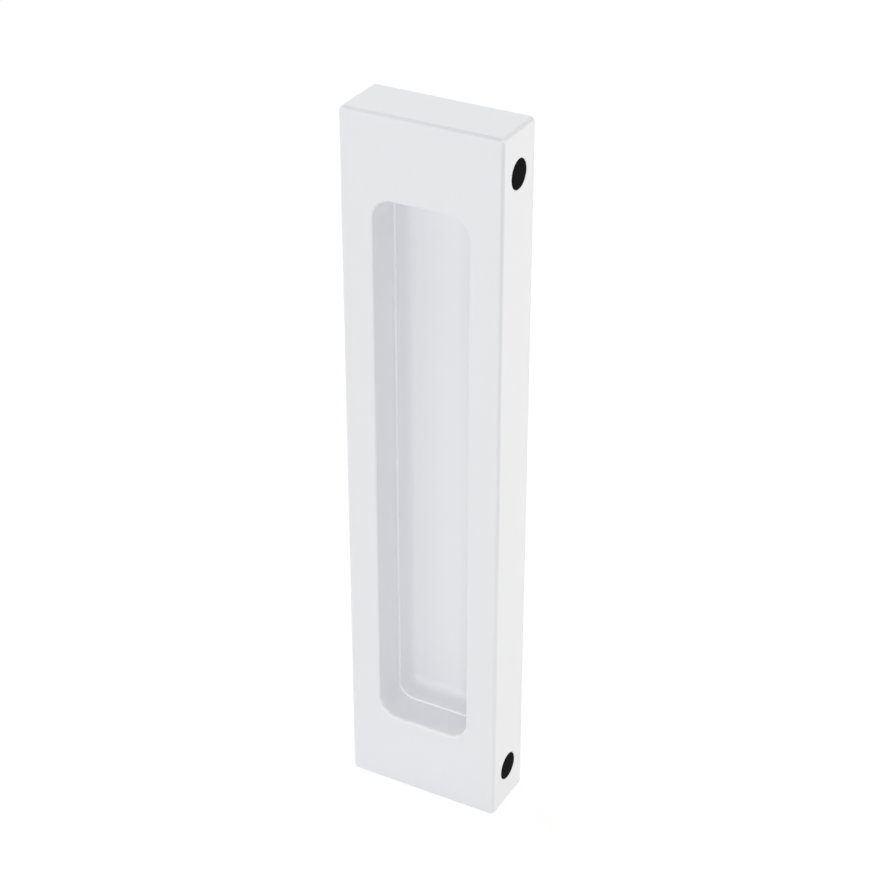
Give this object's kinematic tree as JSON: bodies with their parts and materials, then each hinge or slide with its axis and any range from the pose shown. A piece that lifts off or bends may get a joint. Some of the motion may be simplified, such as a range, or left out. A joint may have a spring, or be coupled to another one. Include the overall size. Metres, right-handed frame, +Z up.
{
  "type": "pocket door pull",
  "caption": "Rectangular flush pull for a sliding door, with a long round-cornered finger pocket in its front and plugged fixing holes in one side.",
  "frame": {"origin": "centre of the back face", "axes": "+Z up along the length, +Y out of the back face, the finger pocket's front face towards -Y, +X towards the side face that holds the plugs"},
  "size_m": [0.04, 0.015, 0.18],
  "materials": {
    "powder_coat": "satin",
    "black_plastic": "matte"
  },
  "bodies": {
    "root": {"body": "powder_coat", "plug_upper": "black_plastic", "plug_lower": "black_plastic"}
  },
  "joints": []
}
